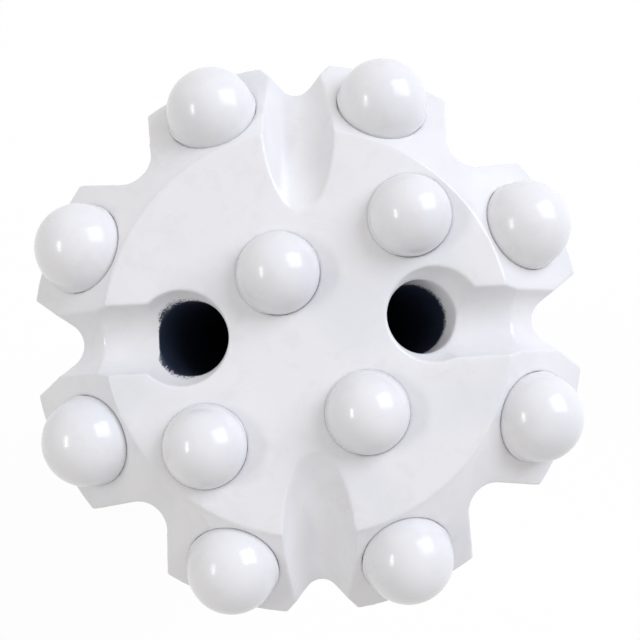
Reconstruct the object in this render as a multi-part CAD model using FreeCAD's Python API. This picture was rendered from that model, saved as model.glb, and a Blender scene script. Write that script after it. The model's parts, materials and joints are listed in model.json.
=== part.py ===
# Down-the-hole hammer button bit, 90 mm class: a forged and milled steel bit with
# pressed-in carbide buttons. Millimetres.
# The bit stands on its strike face. The centre of that face is the origin, and +Z
# runs up the shank to the drilling face.

import FreeCAD, Part
import math
import os

from FreeCAD import Placement, Rotation, Vector

# Head
gauge_dia = 90.0  # the hole it drills, over the gauge buttons
gauge_relief = 1.3  # how far inside the gauge the steel of the land stays
bevel_width = 12.6  # gauge bevel, from the land in to the flat face
bevel_angle = 35.0  # down from the face
face_step = 0.45  # the flat face is left standing proud of the bevel's inner end
face_step_run = 0.35  # how far out that steep edge runs
land_length = 9.0  # cylindrical gauge land under the bevel
skirt_inset = 4.2  # how much the tapered skirt narrows by the driver shoulder
skirt_chamfer = 1.5
head_length = 55.0  # drilling face to driver shoulder

# Shank, from the shoulder down to the strike face
spline_dia = 58.0
spline_root_dia = 50.0
spline_count = 8
spline_start_angle = 22.5  # so that a space, not a spline, lines up with each flush groove
spline_width = 11.5
spline_length = 70.0
spline_chamfer = 2.0
collar_length = 12.0  # plain stretch between the shoulder and the spline ends
shoulder_fillet = 2.5
neck_dia = 46.0  # room for the split retaining ring
neck_length = 42.0
neck_fillet = 5.0
neck_edge_rounding = 1.0
tail_dia = 57.5
tail_length = 26.0
tail_chamfer = 1.5
tail_chamfer_length = 3.0  # along the tail, so that it leads into the guide bush

# Air way
bore_dia = 18.0
bore_roof = 42.0  # steel left between the drilling face and the bore
bore_chamfer = 1.5
drill_point_angle = 118.0
flush_hole_dia = 11.5
flush_hole_pitch = 18.5  # radius of the mouths on the drilling face
flush_hole_angles = (4.5, 180.5)
flush_hole_reach = 52.0  # depth at which the inclined holes meet the bit's axis
bowl_offset = 0.9  # centre of the ball-milled bowl, further out than its hole's mouth
bowl_radius = 8.0
bowl_depth = 5.0

# Flutes down the side of the head: round root between two straight flanks
flush_flute_angles = (0, 180)
flush_flute_depth = 8.4
flush_flute_root = 3.8
flush_flute_flank_angle = 36.0  # each flank off the radial line
diagonal_flute_angle = 46.4
diagonal_flute_depth = 8.0
diagonal_flute_root = 4.2
diagonal_flute_flank_angle = 38.0
small_flute_angles = (90, 270)
small_flute_depth = 5.25
small_flute_root = 2.8
small_flute_flank_angle = 41.0

# Ball-milled grooves in the drilling face
flush_groove_radius = 5.4
flush_groove_depth = 4.2  # under the flat face, from the bowl to the bevel
bevel_groove_depth = 3.0  # under the bevel, from there to the flute
blind_groove_radius = 5.5
blind_groove_inset = 9.6  # where the ball of the cutter goes in, from the edge of the flat face
blind_groove_entry = 1.0  # how deep the ball goes in there
blind_groove_angle = 22.0  # slope from there down to the flute

# Buttons
gauge_button_dia = 14.0
gauge_button_shank = 12.0
gauge_button_angle = 23.3  # from the flush grooves
side_button_angle = 69.2
face_button_dia = 12.7
face_button_shank = 11.0
inner_button_pitch = 9.85
inner_button_angle = 114.8
middle_button_pitch = 15.4
middle_button_angle = 302.8
outer_button_inset = 7.6  # centres of the two outer ones, in from the edge of the flat face
outer_button_angles = (45.6, 225.5)
button_rise = 0.4  # straight side showing above the steel
button_chamfer = 1.0
socket_clearance = 0.01
gauge_socket_relief = 0.45  # chamfer of the steel round each button
face_socket_relief = 0.2

run_out = 5.0  # how far a cutter passes beyond the steel

head_radius = gauge_dia / 2 - gauge_relief
face_radius = head_radius - bevel_width
skirt_radius = head_radius - skirt_inset
spline_radius = spline_dia / 2
tail_radius = tail_dia / 2
neck_radius = neck_dia / 2
bevel_slope = math.tan(math.radians(bevel_angle))
step_radius = face_radius + face_step_run
bevel_start = step_radius - face_step / bevel_slope  # where the bevel would reach the face's height
bevel_drop = (head_radius - bevel_start) * bevel_slope

neck_bottom = tail_length
spline_bottom = neck_bottom + neck_length
spline_top = spline_bottom + spline_length
shoulder = spline_top + collar_length
bit_length = shoulder + head_length
bore_top = bit_length - bore_roof


def turned(corners):
    """Solid turned about Z. Each corner of its half section is (radius, height, rounding)."""
    points = [Vector(radius, 0, height) for radius, height, rounding in corners]
    edges = []
    ends = []
    for i, here in enumerate(points):
        rounding = corners[i][2]
        if rounding == 0:
            ends.append((here, here))
            continue
        back = (points[i - 1] - here).normalize()
        ahead = (points[(i + 1) % len(points)] - here).normalize()
        half = back.getAngle(ahead) / 2
        start = here + back * (rounding / math.tan(half))
        end = here + ahead * (rounding / math.tan(half))
        middle = here + (back + ahead).normalize() * (rounding / math.sin(half) - rounding)
        edges.append(Part.Arc(start, middle, end).toShape())
        ends.append((start, end))
    for i in range(len(ends)):
        edges.append(Part.makeLine(ends[i - 1][1], ends[i][0]))
    wire = Part.Wire(Part.sortEdges(edges)[0])
    return Part.Face(wire).revolve(Vector(), Vector(0, 0, 1), 360)


def turn_about_axis(shape, angle):
    return shape.rotated(Vector(), Vector(0, 0, 1), angle)


def rod(start, end, radius):
    return Part.makeCylinder(radius, (end - start).Length, start, end - start)


def steel_blank():
    """The forging after turning, before any milling or drilling."""
    return turned([
        (0, 0, 0),
        (tail_radius - tail_chamfer, 0, 0),
        (tail_radius, tail_chamfer_length, 0),
        (tail_radius, neck_bottom, neck_edge_rounding),
        (neck_radius, neck_bottom, neck_fillet),
        (neck_radius, spline_bottom, neck_fillet),
        (spline_radius - spline_chamfer, spline_bottom, 0),
        (spline_radius, spline_bottom + spline_chamfer, 0),
        (spline_radius, shoulder, shoulder_fillet),
        (skirt_radius - skirt_chamfer, shoulder, 0),
        (skirt_radius, shoulder + skirt_chamfer, 0),
        (head_radius, bit_length - bevel_drop - land_length, 0),
        (head_radius, bit_length - bevel_drop, 0),
        (step_radius, bit_length - face_step, 0),
        (face_radius, bit_length, 0),
        (0, bit_length, 0),
    ])


def spline_spaces():
    """The steel milled away between the splines, with a sloping run-out at the collar."""
    root = spline_root_dia / 2
    outside = spline_radius + run_out
    depth = outside - root
    ring = turned([
        (root, spline_bottom - run_out, 0),
        (outside, spline_bottom - run_out, 0),
        (outside, spline_top + depth, 0),
        (root, spline_top, 0),
    ])
    height = spline_length + depth + 2 * run_out
    spline = Part.makeBox(outside, spline_width, height,
                          Vector(0, -spline_width / 2, spline_bottom - run_out))
    step = 360 / spline_count
    return ring.cut([turn_about_axis(spline, spline_start_angle + i * step)
                     for i in range(spline_count)])


def flute(angle, depth, root, flank_angle):
    """Cutter path of one flute: its section drawn out along the whole head."""
    middle = head_radius - depth + root
    lean = math.radians(flank_angle)
    touch = Vector(middle - root * math.sin(lean), root * math.cos(lean), 0)
    outside = head_radius + run_out
    flare = touch.y + (outside - touch.x) * math.tan(lean)
    mirror = Vector(touch.x, -touch.y, 0)
    section = Part.Wire([
        Part.Arc(touch, Vector(middle - root, 0, 0), mirror).toShape(),
        Part.makeLine(mirror, Vector(outside, -flare, 0)),
        Part.makeLine(Vector(outside, -flare, 0), Vector(outside, flare, 0)),
        Part.makeLine(Vector(outside, flare, 0), touch),
    ])
    cutter = Part.Face(section).extrude(Vector(0, 0, head_length + 2 * run_out))
    cutter.translate(Vector(0, 0, shoulder - run_out))
    return turn_about_axis(cutter, angle)


def flutes():
    diagonal = (diagonal_flute_angle, 180 - diagonal_flute_angle,
                180 + diagonal_flute_angle, 360 - diagonal_flute_angle)
    kinds = (
        (flush_flute_angles, flush_flute_depth, flush_flute_root, flush_flute_flank_angle),
        (diagonal, diagonal_flute_depth, diagonal_flute_root, diagonal_flute_flank_angle),
        (small_flute_angles, small_flute_depth, small_flute_root, small_flute_flank_angle),
    )
    return [flute(angle, depth, root, flank_angle)
            for angles, depth, root, flank_angle in kinds for angle in angles]


def flush_groove(angle):
    """Groove from the bowl across the face, then parallel to the bevel, into the flute."""
    lean = math.radians(bevel_angle)
    height = flush_groove_radius - flush_groove_depth
    off_bevel = flush_groove_radius - bevel_groove_depth
    turn = bevel_start + (off_bevel - height * math.cos(lean)) / math.sin(lean)
    start = Vector(flush_hole_pitch, 0, bit_length + height)
    corner = Vector(turn, 0, bit_length + height)
    end = corner + Vector(math.cos(lean), 0, -math.sin(lean)) * head_radius
    cutter = rod(start, corner, flush_groove_radius)
    cutter = cutter.fuse(rod(corner, end, flush_groove_radius))
    return turn_about_axis(cutter, angle)


def blind_groove(angle):
    """Groove from a round end in the face, sloping down into a small flute."""
    lean = math.radians(blind_groove_angle)
    along = Vector(math.cos(lean), 0, -math.sin(lean))
    ball = Vector(face_radius - blind_groove_inset, 0,
                  bit_length - blind_groove_entry + blind_groove_radius)
    cutter = rod(ball, ball + along * head_radius, blind_groove_radius)
    cutter = cutter.fuse(Part.makeSphere(blind_groove_radius, ball))
    return turn_about_axis(cutter, angle)


def flush_hole(angle):
    """Inclined air hole and the ball-milled bowl round its mouth."""
    mouth = Vector(flush_hole_pitch, 0, bit_length)
    meeting = Vector(0, 0, bit_length - flush_hole_reach)
    outward = (mouth - meeting).normalize()
    hole = rod(meeting, mouth + outward * run_out, flush_hole_dia / 2)
    bowl_middle = Vector(flush_hole_pitch + bowl_offset, 0, bit_length - bowl_depth + bowl_radius)
    bowl = Part.makeSphere(bowl_radius, bowl_middle)
    return [turn_about_axis(hole, angle), turn_about_axis(bowl, angle)]


def central_bore():
    radius = bore_dia / 2
    mouth = radius + bore_chamfer
    point = radius / math.tan(math.radians(drill_point_angle / 2))
    return turned([
        (0, 0, 0),
        (mouth, 0, 0),
        (radius, bore_chamfer, 0),
        (radius, bore_top, 0),
        (0, bore_top + point, 0),
    ])


def button(diameter, shank):
    """Carbide button about its own axis, with z = 0 where it leaves the steel."""
    radius = diameter / 2
    slant = radius * math.sqrt(0.5)
    top = Vector(0, 0, button_rise + radius)
    shoulder_point = Vector(radius, 0, button_rise)
    dome = Part.Arc(shoulder_point, Vector(slant, 0, button_rise + slant), top).toShape()
    corners = [top, Vector(0, 0, -shank), Vector(radius - button_chamfer, 0, -shank),
               Vector(radius, 0, button_chamfer - shank), shoulder_point]
    section = Part.Wire([Part.makeLine(a, b) for a, b in zip(corners, corners[1:])] + [dome])
    return Part.Face(section).revolve(Vector(), Vector(0, 0, 1), 360)


def socket(diameter, shank, relief):
    """Drilled seat of a button, opened at the mouth by its relief."""
    radius = diameter / 2 + socket_clearance
    return turned([
        (0, -shank, 0),
        (radius, -shank, 0),
        (radius, -relief, 0),
        (radius + relief + run_out, run_out, 0),
        (0, run_out, 0),
    ])


def seat(radius, angle, lean):
    """Where a button sits: on the flat face, or square to the bevel beyond it."""
    drop = max(radius - bevel_start, 0) * bevel_slope
    around = Rotation(Vector(0, 0, 1), angle)
    outward = Rotation(Vector(0, 1, 0), lean)
    return Placement(around.multVec(Vector(radius, 0, bit_length - drop)), around.multiply(outward))


def gauge_seats():
    """Eight seats in the bevel, two in each quarter, whose domes just reach the gauge."""
    reach = gauge_dia / 2 - gauge_button_dia / 2
    radius = reach - button_rise * math.sin(math.radians(bevel_angle))
    quarter = (gauge_button_angle, side_button_angle)
    angles = [a for a in quarter] + [180 - a for a in reversed(quarter)]
    angles += [180 + a for a in angles]
    return [seat(radius, angle, bevel_angle) for angle in angles]


def face_seats():
    outer_button_pitch = face_radius - outer_button_inset
    places = [(inner_button_pitch, inner_button_angle)]
    places += [(outer_button_pitch, angle) for angle in outer_button_angles]
    places += [(middle_button_pitch, middle_button_angle)]
    return [seat(radius, angle, 0) for radius, angle in places]


def bit_body():
    cutters = [spline_spaces(), central_bore()] + flutes()
    for angle in flush_hole_angles:
        cutters += flush_hole(angle)
    cutters += [flush_groove(angle) for angle in flush_flute_angles]
    cutters += [blind_groove(angle) for angle in small_flute_angles]
    gauge_socket = socket(gauge_button_dia, gauge_button_shank, gauge_socket_relief)
    face_socket = socket(face_button_dia, face_button_shank, face_socket_relief)
    cutters += [gauge_socket.transformed(place.toMatrix()) for place in gauge_seats()]
    cutters += [face_socket.transformed(place.toMatrix()) for place in face_seats()]
    return steel_blank().cut(cutters).removeSplitter()


def buttons(name, shape, seats):
    return {f"{name}_{i + 1}": shape.transformed(place.toMatrix())
            for i, place in enumerate(seats)}


pieces = {"bit_body": bit_body()}
pieces.update(buttons("gauge_button", button(gauge_button_dia, gauge_button_shank), gauge_seats()))
pieces.update(buttons("face_button", button(face_button_dia, face_button_shank), face_seats()))

os.makedirs("parts", exist_ok=True)
for name, shape in pieces.items():
    shape.exportStep(f"parts/{name}.step")
    print(name, shape.ShapeType, len(shape.Solids), shape.isValid(), round(shape.Volume, 1))
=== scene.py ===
import json
import math

import bmesh
import bpy
import numpy as np
from mathutils import Matrix, Vector


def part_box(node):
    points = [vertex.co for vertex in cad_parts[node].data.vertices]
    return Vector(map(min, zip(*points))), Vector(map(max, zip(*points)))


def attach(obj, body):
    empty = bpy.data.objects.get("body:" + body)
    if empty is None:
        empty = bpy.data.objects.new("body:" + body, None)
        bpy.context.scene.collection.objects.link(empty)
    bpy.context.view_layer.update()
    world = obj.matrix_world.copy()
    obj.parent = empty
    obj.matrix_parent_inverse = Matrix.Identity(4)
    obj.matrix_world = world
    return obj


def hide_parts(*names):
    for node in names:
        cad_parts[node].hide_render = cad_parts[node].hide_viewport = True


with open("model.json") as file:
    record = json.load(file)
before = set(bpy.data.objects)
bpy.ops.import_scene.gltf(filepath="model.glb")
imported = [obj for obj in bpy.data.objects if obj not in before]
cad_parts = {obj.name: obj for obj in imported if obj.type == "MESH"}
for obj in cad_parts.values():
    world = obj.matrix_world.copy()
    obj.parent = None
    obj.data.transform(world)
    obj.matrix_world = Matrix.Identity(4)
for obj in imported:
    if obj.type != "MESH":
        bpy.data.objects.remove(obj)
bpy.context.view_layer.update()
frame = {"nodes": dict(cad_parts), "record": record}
faceCentre = Vector((0, 0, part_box("bit_body")[1].z))

mm = 0.001


def linear(hexCode, alpha=1.0):
    # sRGB hex to the linear colour that Blender's sockets take
    channels = [int(hexCode[i:i + 2], 16) / 255 for i in (0, 2, 4)]
    return [c / 12.92 if c <= 0.04045 else ((c + 0.055) / 1.055) ** 2.4 for c in channels] + [alpha]


def addNode(tree, kind, settings=None, links=None):
    # settings: attributes, or input names and numbers with a value; links: input to an output socket
    node = tree.nodes.new(kind)
    for key, value in (settings or {}).items():
        if isinstance(key, str) and hasattr(node, key):
            setattr(node, key, value)
        else:
            node.inputs[key].default_value = value
    for key, socket in (links or {}).items():
        tree.links.new(socket, node.inputs[key])
    return node


def newMaterial(name):
    material = bpy.data.materials.new(name)
    material.use_nodes = True
    material.node_tree.nodes.clear()
    return material, material.node_tree


def meshObject(name, mesh):
    piece = bpy.data.objects.new(name, mesh)
    bpy.context.scene.collection.objects.link(piece)
    return piece


def applied(piece):
    # the evaluated mesh in place of the piece's own, with its modifiers gone
    depsgraph = bpy.context.evaluated_depsgraph_get()
    mesh = bpy.data.meshes.new_from_object(piece.evaluated_get(depsgraph))
    piece.modifiers.clear()
    old = piece.data
    piece.data = mesh
    bpy.data.meshes.remove(old)
    return piece


def newTree(name, sizes):
    # an empty Geometry Nodes group: geometry in and out, and one named input for each size
    tree = bpy.data.node_groups.new(name, "GeometryNodeTree")
    tree.interface.new_socket("Geometry", in_out="INPUT", socket_type="NodeSocketGeometry")
    tree.interface.new_socket("Geometry", in_out="OUTPUT", socket_type="NodeSocketGeometry")
    for label, value in sizes.items():
        kind = {int: "NodeSocketInt", float: "NodeSocketFloat"}.get(type(value), "NodeSocketMaterial")
        tree.interface.new_socket(label, in_out="INPUT", socket_type=kind)
    return tree, addNode(tree, "NodeGroupInput").outputs


def grown(piece, tree, sizes):
    # runs the group on the piece with these sizes and keeps the plain mesh
    modifier = piece.modifiers.new(tree.name, "NODES")
    modifier.node_group = tree
    for socket in tree.interface.items_tree:
        if socket.in_out == "INPUT" and socket.name in sizes:
            modifier[socket.identifier] = sizes[socket.name]
    return applied(piece)


enamel = {
    "white": "E6E6E8",
    "thin": "E0E1E4",  # where the coat is thin and the steel greys it
    "dust": "CBC6C3",  # handling dust
    "cloudSize": 13.0,  # mm, patches of thinner coat
    "cloudRange": (0.36, 0.56),  # of the noise, from thin to full coat
    "dustSize": 5.0,  # mm, smudges
    "dustRange": (0.52, 0.78),
    "dustShare": 0.25,
    "orangePeel": 1.6,  # mm, one dimple of the sprayed film
    "peelDepth": 0.012,
    "grain": 0.25,  # mm, dust nibs and dry spray
    "grainDepth": 0.01,
    "gloss": 0.13,  # roughness where it went on wet
    "dull": 0.3,  # and where it went on dry
    "dryRange": (0.35, 0.75),
    "bareRange": (0.8, 1.1),  # of cover and grain together, from bare steel (in the air holes painted shade) to paint
}

bareSteelAndHoleShade = {
    "scale": "1E2534",  # blue-black heat-treatment scale, mottled with paleScale; where it lines the air holes both are painted shade of their depth
    "paleScale": "2A3346",
    "mottle": 3.0,  # mm
    "bright": "8E9095",  # where the ground end face shows metal
    "roughness": 0.45,
    "ringPitch": 0.8,  # mm between turning marks, drawn coarse enough to show
    "ringDepth": 0.01,
    "brightTo": (0.3, 0.6),  # mm above the strike face, where ground metal gives way to scale
}


def sprayedEnamel(name, look, masked=False):
    # white alkyd enamel from a spray gun: clear gloss over a slightly dimpled film,
    # and duller where it went on dry
    material, tree = newMaterial(name)
    place = addNode(tree, "ShaderNodeTexCoord").outputs["Object"]
    cloud = addNode(tree, "ShaderNodeTexNoise", {"Scale": 1 / (look["cloudSize"] * mm), "Detail": 4.0},
                    {"Vector": place}).outputs["Fac"]
    tone = addNode(tree, "ShaderNodeValToRGB", {}, {"Fac": cloud})
    tone.color_ramp.elements[0].position = look["cloudRange"][0]
    tone.color_ramp.elements[0].color = linear(look["thin"])
    tone.color_ramp.elements[1].position = look["cloudRange"][1]
    tone.color_ramp.elements[1].color = linear(look["white"])
    smudge = addNode(tree, "ShaderNodeTexNoise",
                     {"Scale": 1 / (look["dustSize"] * mm), "Detail": 6.0, "Roughness": 0.7,
                      "Distortion": 0.6},
                     {"Vector": place}).outputs["Fac"]
    low, high = look["dustRange"]
    dirty = addNode(tree, "ShaderNodeMapRange", {1: low, 2: high, 3: 0.0, 4: look["dustShare"]},
                    {"Value": smudge}).outputs["Result"]
    colour = addNode(tree, "ShaderNodeMix", {"data_type": "RGBA", 7: linear(look["dust"])},
                     {0: dirty, 6: tone.outputs["Color"]}).outputs[2]
    low, high = look["dryRange"]
    dry = addNode(tree, "ShaderNodeMapRange", {1: low, 2: high, 3: look["gloss"], 4: look["dull"]},
                  {"Value": smudge}).outputs["Result"]
    peel = addNode(tree, "ShaderNodeTexNoise", {"Scale": 1 / (look["orangePeel"] * mm), "Detail": 1.5},
                   {"Vector": place}).outputs["Fac"]
    nibs = addNode(tree, "ShaderNodeTexNoise", {"Scale": 1 / (look["grain"] * mm), "Detail": 2.0},
                   {"Vector": place}).outputs["Fac"]
    film = addNode(tree, "ShaderNodeBump", {"Strength": 1.0, "Distance": look["peelDepth"] * mm},
                   {"Height": peel})
    bump = addNode(tree, "ShaderNodeBump", {"Strength": 0.25, "Distance": look["grainDepth"] * mm},
                   {"Height": nibs, "Normal": film.outputs["Normal"]})
    paint = addNode(tree, "ShaderNodeBsdfPrincipled", {"IOR": 1.5},
                    {"Base Color": colour, "Roughness": dry, "Normal": bump.outputs["Normal"]})
    surface = paint.outputs["BSDF"]
    # where the paint attribute is low the coat gives way to dark steel; in the air holes that dark is painted
    # shade of their depth
    if masked:
        cover = addNode(tree, "ShaderNodeAttribute", {"attribute_name": "paint"}).outputs["Fac"]
        edge = addNode(tree, "ShaderNodeMath", {"operation": "ADD"}, {0: cover, 1: nibs}).outputs[0]
        low, high = look["bareRange"]
        share = addNode(tree, "ShaderNodeMapRange", {1: low, 2: high}, {"Value": edge}).outputs["Result"]
        surface = addNode(tree, "ShaderNodeMixShader", {},
                          {0: share, 1: scaledSteelAndHoleShade(tree, place, bareSteelAndHoleShade), 2: surface}).outputs[0]
    addNode(tree, "ShaderNodeOutputMaterial", {}, {"Surface": surface})
    return material


def scaledSteelAndHoleShade(tree, place, look):
    # hardened alloy steel, ground bright in rings on the strike face; its blue-black scale stands on the bore
    # wall and, as painted shade of their depth, in the air holes
    apart = addNode(tree, "ShaderNodeSeparateXYZ", {}, {0: place})
    low, high = look["brightTo"]
    ends = addNode(tree, "ShaderNodeMapRange", {1: low * mm, 2: high * mm, 3: 1.0, 4: 0.0},
                   {"Value": apart.outputs["Z"]}).outputs["Result"]
    flat = addNode(tree, "ShaderNodeCombineXYZ", {}, {"X": apart.outputs["X"], "Y": apart.outputs["Y"]})
    radius = addNode(tree, "ShaderNodeVectorMath", {"operation": "LENGTH"},
                     {0: flat.outputs[0]}).outputs["Value"]
    wave = addNode(tree, "ShaderNodeMath", {"operation": "MULTIPLY", 1: math.tau / (look["ringPitch"] * mm)},
                   {0: radius})
    rings = addNode(tree, "ShaderNodeMath", {"operation": "SINE"}, {0: wave.outputs[0]}).outputs[0]
    mottle = addNode(tree, "ShaderNodeTexNoise", {"Scale": 1 / (look["mottle"] * mm), "Detail": 4.0},
                     {"Vector": place})
    scale = addNode(tree, "ShaderNodeMix",
                    {"data_type": "RGBA", 6: linear(look["scale"]), 7: linear(look["paleScale"])},
                    {0: mottle.outputs["Fac"]}).outputs[2]
    colour = addNode(tree, "ShaderNodeMix", {"data_type": "RGBA", 7: linear(look["bright"])},
                     {0: ends, 6: scale}).outputs[2]
    bump = addNode(tree, "ShaderNodeBump", {"Strength": 0.3, "Distance": look["ringDepth"] * mm},
                   {"Height": rings})
    return addNode(tree, "ShaderNodeBsdfPrincipled", {"Roughness": look["roughness"]},
                   {"Base Color": colour, "Metallic": ends, "Normal": bump.outputs["Normal"]}).outputs["BSDF"]


def airHoles():
    # the inclined holes, each as two points on its axis, from the spaces that the record keeps open
    spaces = {space["name"]: space["box_m"] for space in frame["record"]["physics"]["openings"]}
    middle = {name: (Vector(low) + Vector(high)) / 2 for name, (low, high) in spaces.items()}
    return {side: (middle["flush_hole_" + side + "_root"], middle["flush_hole_" + side + "_mouth"])
            for side in ("right", "left")}


body = {
    "merge": 0.002,  # mm, closer vertices are one
    "voxel": 0.3,  # mm, and about how far the paint rounds an edge
    "softness": 0.5,
    "smoothing": 3,
    "triangles": 190000,
    "film": ((9.0, 0.10), (2.6, 0.03)),  # mm: size and height of the unevenness in the coat
    "holeRadius": 7.1,  # mm, a little over a hole's wall
    "holeFade": 0.5,
    "holeLength": 20.0,  # mm of each air hole under the middle of its lower space
    "paintedShadeBelow": {"right": 7.5, "left": 2.0},  # mm under the face, below which each hole's wall is painted dark steel as shade of the deep hole, set apart for each hole
    "fade": 3.0,
    "boreWall": (9.6, 170.0),  # mm, radius and top that take in the whole central bore
    "strikeFace": (27.5, 0.3),  # mm, radius and height of the end that it stood on
    # thin runs and drag marks in the coat: radius and angle of both ends, width, height
    "runs": (
        ((29.6, 233.0), (34.0, 241.0), 0.35, 0.16),
        ((30.6, 229.0), (34.5, 236.0), 0.3, 0.12),
        ((31.6, 224.0), (35.0, 232.0), 0.3, 0.1),
        ((33.5, 128.0), (42.0, 127.0), 0.5, 0.2),
        ((36.0, 98.5), (42.0, 99.5), 0.7, 0.12),
    ),
    "runFacing": 0.3,  # runs stay only where the surface faces up by more than this
    "runBend": 0.3,  # mm that a run wanders to each side
    "runWaves": 9,
    "runBeads": 23,
}


def uneven(piece, size, height):
    # a slow swell in the thickness of the coat
    cloud = bpy.data.textures.new("coat", "CLOUDS")
    cloud.noise_scale = size * mm
    swell = piece.modifiers.new("coat", "DISPLACE")
    swell.texture = cloud
    swell.texture_coords = "LOCAL"
    swell.mid_level = 0.5
    swell.strength = height * mm


def onFace(radius, angle):
    turn = math.radians(angle)
    return np.array((radius * math.cos(turn), radius * math.sin(turn))) * mm


def pointsAndNormals(mesh):
    points = np.empty(len(mesh.vertices) * 3)
    mesh.vertices.foreach_get("co", points)
    normals = np.empty(points.size)
    mesh.vertex_normals.foreach_get("vector", normals)
    return points.reshape(-1, 3), normals.reshape(-1, 3)


def raiseRuns(mesh, runs):
    # ridges of thick paint, each along a wandering line drawn over the face
    points, normals = pointsAndNormals(mesh)
    upward = normals[:, 2] > body["runFacing"]
    lift = np.zeros(len(points))
    for start, end, width, height in runs:
        a = onFace(*start)
        b = onFace(*end)
        along = (points[:, :2] - a) @ (b - a) / ((b - a) @ (b - a))
        bend = body["runBend"] * mm * np.sin(along * body["runWaves"])
        side = np.array((-(b - a)[1], (b - a)[0])) / np.linalg.norm(b - a)
        off = (points[:, :2] - a) @ side - bend
        ends = np.clip(np.minimum(along, 1 - along) * 5, 0, 1)  # it fades over a fifth of its length
        beads = 0.75 + 0.25 * np.sin(along * body["runBeads"] + 1)
        lift += height * mm * beads * ends * np.exp(-(off / (width / 2 * mm)) ** 2)
    points += normals * (lift * upward)[:, None]
    mesh.vertices.foreach_set("co", points.ravel())


def markCoverAndHoleShade(mesh):
    # how much paint each spot got: none on the end that it stood on or on the bore wall, and none deep in the
    # air ways, where the dark steel left bare is painted shade of the holes' depth
    points, normals = pointsAndNormals(mesh)
    cover = np.ones(len(points))
    depth = (faceCentre.z - points[:, 2]) / mm
    for side, (root, mouth) in airHoles().items():
        axis = np.array((mouth - root).normalized())
        reach = points - np.array(root)
        off = np.linalg.norm(reach - np.outer(reach @ axis, axis), axis=1) / mm
        # only what runs along the hole is its wall, not the surface that it opens through
        wall = np.clip((0.9 - np.abs(normals @ axis)) / 0.4, 0, 1)
        inside = wall * np.clip((body["holeRadius"] - off) / body["holeFade"], 0, 1)
        inside *= points[:, 2] > root.z - body["holeLength"] * mm
        # deeper than this each hole's wall turns to dark steel: painted shade of the hole
        deep = np.clip((body["paintedShadeBelow"][side] - depth) / body["fade"] + 0.5, 0, 1)
        cover -= inside * (1 - deep)
    radius = np.linalg.norm(points[:, :2], axis=1) / mm
    widest, top = body["boreWall"]
    boreWall = (radius < widest) & (points[:, 2] < top * mm)
    widest, top = body["strikeFace"]
    strikeFace = (radius < widest) & (points[:, 2] < top * mm)
    cover[boreWall | strikeFace] = 0
    mesh.attributes.new("paint", "FLOAT", "POINT").data.foreach_set("value", cover)


def paintedBody():
    # the CAD solid with its edges softened by the coat, from a merged copy of the node's mesh
    mesh = frame["nodes"]["bit_body"].data.copy()
    mesh.materials.clear()
    for name in [a.name for a in mesh.attributes if a.domain == "CORNER" and not a.is_required]:
        mesh.attributes.remove(mesh.attributes[name])
    grid = bmesh.new()
    grid.from_mesh(mesh)
    bmesh.ops.remove_doubles(grid, verts=grid.verts, dist=body["merge"] * mm)
    grid.to_mesh(mesh)
    grid.free()
    piece = meshObject("paintedBody", mesh)
    remesh = piece.modifiers.new("paintFilm", "REMESH")
    remesh.mode = "VOXEL"
    remesh.voxel_size = body["voxel"] * mm
    remesh.use_smooth_shade = True
    soften = piece.modifiers.new("softEdges", "SMOOTH")
    soften.factor = body["softness"]
    soften.iterations = body["smoothing"]
    for size, height in body["film"]:
        uneven(piece, size, height)
    applied(piece)
    raiseRuns(piece.data, body["runs"])
    print("body film", len(piece.data.polygons), "faces")
    thin = piece.modifiers.new("fewerTriangles", "DECIMATE")
    thin.ratio = body["triangles"] / (2 * len(piece.data.polygons))
    applied(piece)
    markCoverAndHoleShade(piece.data)
    piece.data.materials.append(sprayedEnamel("sprayedEnamelOnSteel", enamel, masked=True))
    print("body", len(piece.data.polygons), "triangles")
    return piece


bitBody = paintedBody()
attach(bitBody, "root")
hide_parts("bit_body")

buttons = {
    "gauge": {"diameter": 14.0, "lean": 35.0},  # the coat's gap is on the side of the flat face
    "face": {"diameter": 12.7, "lean": 0.0, "gapTowards": -50.0},
    "rise": 0.4,  # mm of straight side above the steel
    "shank": 12.0,
    "fillet": 0.22,  # mm, the paint that bridges from the button to the steel
    "filletHeight": 0.7,
    "gap": (-0.75, -0.2),  # across the button, in radii: up to where it has no fillet, from where all of it
    "corner": 0.54,  # bevel of the sunk end: 0.5 is a full slant, 1 a sharp corner
    "unevenness": 0.12,
    "unevennessSize": 5.0,
    "segments": 96,
    "rings": 80,
}


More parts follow.
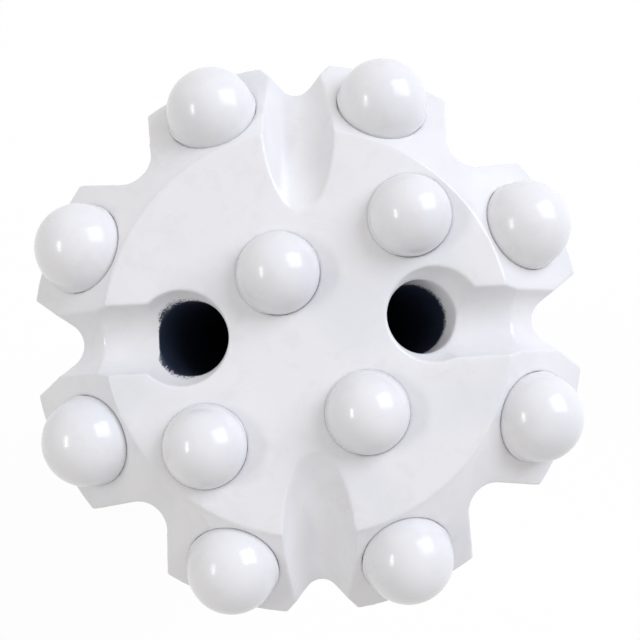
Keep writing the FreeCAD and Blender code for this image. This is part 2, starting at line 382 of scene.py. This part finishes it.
def buttonTree(sizes):
    # one painted button about its own axis, set on every seat with that seat's turn
    tree, given = newTree("paintedButtons", sizes)
    ball = addNode(tree, "GeometryNodeMeshUVSphere", {"Radius": 1.0},
                   {"Segments": given["Segments"], "Rings": given["Rings"]})
    place = addNode(tree, "GeometryNodeInputPosition").outputs[0]
    x, y, z = addNode(tree, "ShaderNodeSeparateXYZ", {}, {0: place}).outputs
    flat = addNode(tree, "ShaderNodeCombineXYZ", {}, {"X": x, "Y": y}).outputs[0]
    across = addNode(tree, "ShaderNodeVectorMath", {"operation": "LENGTH"}, {0: flat}).outputs["Value"]
    down = addNode(tree, "ShaderNodeMath", {"operation": "ABSOLUTE"}, {0: z}).outputs[0]
    # the lower half is spread onto a straight side, a bevelled corner and a flat end
    wide = addNode(tree, "ShaderNodeMath", {"operation": "MAXIMUM"}, {0: across, 1: down}).outputs[0]
    corner = addNode(tree, "ShaderNodeMath", {"operation": "ADD"}, {0: across, 1: down}).outputs[0]
    corner = addNode(tree, "ShaderNodeMath", {"operation": "MULTIPLY", 1: buttons["corner"]},
                     {0: corner}).outputs[0]
    span = addNode(tree, "ShaderNodeMath", {"operation": "MAXIMUM"}, {0: wide, 1: corner}).outputs[0]
    below = addNode(tree, "ShaderNodeMath", {"operation": "LESS_THAN", 1: 0.0}, {0: z}).outputs[0]
    spread = addNode(tree, "ShaderNodeMix", {2: 1.0}, {0: below, 3: span}).outputs[0]
    share = addNode(tree, "ShaderNodeMath", {"operation": "DIVIDE"}, {0: down, 1: span}).outputs[0]
    share = addNode(tree, "ShaderNodeMath", {"operation": "MULTIPLY"}, {0: share, 1: share}).outputs[0]
    length = addNode(tree, "ShaderNodeMath", {"operation": "ADD"},
                     {0: given["Rise"], 1: given["Shank"]}).outputs[0]
    sunk = addNode(tree, "ShaderNodeMath", {"operation": "MULTIPLY"}, {0: share, 1: length}).outputs[0]
    sunk = addNode(tree, "ShaderNodeMath", {"operation": "MULTIPLY", 1: -1.0}, {0: sunk}).outputs[0]
    radius = addNode(tree, "ShaderNodeMath", {"operation": "MULTIPLY", 1: 0.5},
                     {0: given["Diameter"]}).outputs[0]
    domed = addNode(tree, "ShaderNodeMath", {"operation": "MULTIPLY"}, {0: z, 1: radius}).outputs[0]
    height = addNode(tree, "ShaderNodeMix", {}, {0: below, 2: domed, 3: sunk}).outputs[0]
    height = addNode(tree, "ShaderNodeMath", {"operation": "ADD"}, {0: height, 1: given["Rise"]}).outputs[0]
    # the fillet of paint at the foot, left open on the side that the spray missed
    near = addNode(tree, "ShaderNodeMath", {"operation": "ABSOLUTE"}, {0: height}).outputs[0]
    near = addNode(tree, "ShaderNodeMath", {"operation": "DIVIDE"},
                   {0: near, 1: given["Fillet Height"]}).outputs[0]
    foot = addNode(tree, "ShaderNodeMapRange", {1: 0.0, 2: 1.0, 3: 1.0, 4: 0.0},
                   {"Value": near}).outputs["Result"]
    foot = addNode(tree, "ShaderNodeMath", {"operation": "POWER", 1: 2.0}, {0: foot}).outputs[0]
    missing, whole = buttons["gap"]
    bridged = addNode(tree, "ShaderNodeMapRange",
                      {"interpolation_type": "SMOOTHSTEP", 1: missing, 2: whole},
                      {"Value": x}).outputs["Result"]
    bulge = addNode(tree, "ShaderNodeMath", {"operation": "MULTIPLY"}, {0: foot, 1: bridged}).outputs[0]
    bulge = addNode(tree, "ShaderNodeMath", {"operation": "MULTIPLY"},
                    {0: bulge, 1: given["Fillet"]}).outputs[0]
    girth = addNode(tree, "ShaderNodeMath", {"operation": "ADD"}, {0: radius, 1: bulge}).outputs[0]
    scale = addNode(tree, "ShaderNodeMath", {"operation": "DIVIDE"}, {0: girth, 1: spread}).outputs[0]
    flat = addNode(tree, "ShaderNodeVectorMath", {"operation": "SCALE"}, {0: flat, "Scale": scale}).outputs[0]
    tall = addNode(tree, "ShaderNodeCombineXYZ", {}, {"Z": height}).outputs[0]
    shaped = addNode(tree, "GeometryNodeSetPosition", {},
                     {"Geometry": ball.outputs["Mesh"],
                      "Position": addNode(tree, "ShaderNodeVectorMath", {}, {0: flat, 1: tall}).outputs[0]})
    turn = addNode(tree, "GeometryNodeInputNamedAttribute", {"data_type": "FLOAT_VECTOR", "Name": "turn"})
    turn = addNode(tree, "FunctionNodeEulerToRotation", {}, {0: turn.outputs[0]})
    seated = addNode(tree, "GeometryNodeInstanceOnPoints", {},
                     {"Points": given["Geometry"], "Instance": shaped.outputs[0],
                      "Rotation": turn.outputs[0]})
    real = addNode(tree, "GeometryNodeRealizeInstances", {}, {"Geometry": seated.outputs[0]})
    # no two coats are alike: a slow swell over all of them, from the seed
    perMetre = addNode(tree, "ShaderNodeMath", {"operation": "DIVIDE", 0: 1.0},
                       {1: given["Unevenness Size"]}).outputs[0]
    swell = addNode(tree, "ShaderNodeTexNoise", {"noise_dimensions": "4D", "Detail": 1.0},
                    {"Scale": perMetre, "W": given["Seed"]}).outputs["Fac"]
    swell = addNode(tree, "ShaderNodeMath", {"operation": "SUBTRACT", 1: 0.5}, {0: swell}).outputs[0]
    swell = addNode(tree, "ShaderNodeMath", {"operation": "MULTIPLY"},
                    {0: swell, 1: given["Unevenness"]}).outputs[0]
    outward = addNode(tree, "ShaderNodeVectorMath", {"operation": "SCALE"},
                      {0: addNode(tree, "GeometryNodeInputNormal").outputs[0], "Scale": swell})
    coated = addNode(tree, "GeometryNodeSetPosition", {},
                     {"Geometry": real.outputs[0], "Offset": outward.outputs[0]})
    smooth = addNode(tree, "GeometryNodeSetShadeSmooth", {}, {0: coated.outputs[0]})
    finished = addNode(tree, "GeometryNodeSetMaterial", {},
                       {"Geometry": smooth.outputs[0], "Material": given["Material"]})
    addNode(tree, "NodeGroupOutput", {}, {0: finished.outputs[0]})
    return tree


def buttonSeats(kind, look):
    # foot centre and turn of every button of this kind, from the CAD nodes' own boxes
    names = [name for name in frame["nodes"] if name.startswith(kind + "_button_")]
    radius = look["diameter"] / 2 * mm
    lean = math.radians(look["lean"])
    places = []
    turns = []
    for name in names:
        vertices = np.array([tuple(v.co) for v in frame["nodes"][name].data.vertices])
        middle = vertices.mean(axis=0)
        outward = middle[:2] / np.linalg.norm(middle[:2])
        if look["lean"]:
            reach = (vertices[:, :2] @ outward).max() - radius
            azimuth = math.atan2(outward[1], outward[0])
        else:
            low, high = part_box(name)
            outward = np.array(((low.x + high.x) / 2, (low.y + high.y) / 2))
            reach = np.linalg.norm(outward)
            outward = outward / reach
            azimuth = math.radians(look["gapTowards"]) + math.pi
        dome = np.array((*(outward * reach), vertices[:, 2].max() - radius))
        axis = np.array((math.sin(lean) * math.cos(azimuth), math.sin(lean) * math.sin(azimuth),
                         math.cos(lean)))
        places.append(dome - axis * buttons["rise"] * mm)
        turns.append((0, lean, azimuth))
    return names, places, turns


def paintedButtons(kind, seed, paint):
    look = buttons[kind]
    names, places, turns = buttonSeats(kind, look)
    seats = bpy.data.meshes.new(kind + "Seats")
    seats.from_pydata([tuple(place) for place in places], [], [])
    seats.attributes.new("turn", "FLOAT_VECTOR", "POINT").data.foreach_set("vector", np.ravel(turns))
    sizes = {
        "Diameter": look["diameter"] * mm, "Rise": buttons["rise"] * mm, "Shank": buttons["shank"] * mm,
        "Fillet": buttons["fillet"] * mm, "Fillet Height": buttons["filletHeight"] * mm,
        "Unevenness": buttons["unevenness"] * mm, "Unevenness Size": buttons["unevennessSize"] * mm,
        "Segments": buttons["segments"], "Rings": buttons["rings"], "Seed": float(seed), "Material": paint,
    }
    piece = grown(meshObject(kind + "Buttons", seats), buttonTree(sizes), sizes)
    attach(piece, "root")
    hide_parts(*names)
    print(kind, "buttons:", len(names), "with", len(piece.data.polygons), "faces")


buttonPaint = sprayedEnamel("sprayedEnamelOnCarbide", enamel)
paintedButtons("gauge", 3, buttonPaint)
paintedButtons("face", 8, buttonPaint)

floorLook = {
    "reach": 1.5,  # m from the middle to each edge
    "white": "FAFAFA",
    "lift": 0.93,  # share of plain white where it is looked at, the rest takes the shadow
}


def seenStraight(tree):
    # 1 where the camera, a reflection or glass looks at it, 0 where it only lights other things
    path = addNode(tree, "ShaderNodeLightPath")
    straight = addNode(tree, "ShaderNodeMath", {"operation": "MAXIMUM"},
                       {0: path.outputs["Is Camera Ray"], 1: path.outputs["Is Glossy Ray"]})
    return addNode(tree, "ShaderNodeMath", {"operation": "MAXIMUM"},
                   {0: straight.outputs[0], 1: path.outputs["Is Transmission Ray"]}).outputs[0]


def paleFloor(look):
    # matt paper: the camera and the reflections see it nearly white, with the bit's shadow still on it
    reach = look["reach"]
    mesh = bpy.data.meshes.new("floor")
    mesh.from_pydata([(-reach, -reach, 0), (reach, -reach, 0), (reach, reach, 0), (-reach, reach, 0)], [],
                     [(0, 1, 2, 3)])
    paper, tree = newMaterial("mattPaper")
    share = addNode(tree, "ShaderNodeMath", {"operation": "MULTIPLY", 1: look["lift"]},
                    {0: seenStraight(tree)})
    matt = addNode(tree, "ShaderNodeBsdfDiffuse", {"Color": linear(look["white"])})
    glow = addNode(tree, "ShaderNodeEmission", {"Strength": 1.0})
    mixed = addNode(tree, "ShaderNodeMixShader", {},
                    {0: share.outputs[0], 1: matt.outputs[0], 2: glow.outputs[0]})
    addNode(tree, "ShaderNodeOutputMaterial", {}, {"Surface": mixed.outputs[0]})
    mesh.materials.append(paper)
    meshObject("floor", mesh)


studio = {
    "ambient": ("FBF8F6", 0.62),  # colour and strength of the room's light
    # direction from the drilling face, distance, width, height, watts, colour
    "window": ((0.70, 0.46, 0.55), 1.0, 0.7, 0.65, 7.0, "ECF1FF"),
    "doorway": ((-0.71, 0.02, 0.70), 1.0, 0.11, 0.4, 1.8, "FFFFFF"),
}


def softbox(name, direction, distance, width, height, watts, colour):
    lamp = bpy.data.lights.new(name, "AREA")
    lamp.shape = "RECTANGLE"
    lamp.size = width
    lamp.size_y = height
    lamp.energy = watts
    lamp.color = linear(colour)[:3]
    holder = bpy.data.objects.new(name, lamp)
    bpy.context.scene.collection.objects.link(holder)
    away = Vector(direction).normalized()
    side = Vector((0, 1, 0)).cross(away).normalized()
    holder.matrix_world = Matrix((side, away.cross(side), away)).transposed().to_4x4()
    holder.location = faceCentre + away * distance


def light(settings):
    world = bpy.data.worlds.new("studio")
    world.use_nodes = True
    colour, strength = settings["ambient"]
    background = world.node_tree.nodes["Background"]
    background.inputs["Color"].default_value = linear(colour)
    glow = addNode(world.node_tree, "ShaderNodeMapRange", {3: strength, 4: 1.0},
                   {"Value": seenStraight(world.node_tree)})
    world.node_tree.links.new(glow.outputs["Result"], background.inputs["Strength"])
    bpy.context.scene.world = world
    for name in ("window", "doorway"):
        softbox(name, *settings[name])


paleFloor(floorLook)
light(studio)
print("floor and lamps set")

view = {
    "lens": 70.1,  # mm
    "near": 0.01,  # m, the clip plane
    "distance": 0.1893,  # m from the middle of the drilling face
    "across": 0.00178,  # m that the camera stands beside and above that middle
    "up": 0.00158,
    "pitch": -4.27,  # degrees
    "yaw": 0.45,
    "roll": 3.03,
}


def faceCamera(settings):
    turn = (Matrix.Rotation(math.radians(settings["pitch"]), 3, "X")
            @ Matrix.Rotation(math.radians(settings["yaw"]), 3, "Y")
            @ Matrix.Rotation(math.radians(settings["roll"]), 3, "Z")).transposed()
    lens = bpy.data.cameras.new("camera")
    lens.lens = settings["lens"]
    lens.clip_start = settings["near"]
    camera = bpy.data.objects.new("camera", lens)
    bpy.context.scene.collection.objects.link(camera)
    place = faceCentre + turn @ Vector((settings["across"], settings["up"], settings["distance"]))
    camera.matrix_world = Matrix.Translation(place) @ turn.to_4x4()
    bpy.context.scene.camera = camera


faceCamera(view)
bpy.context.scene.view_settings.view_transform = "Standard"
print("camera set")
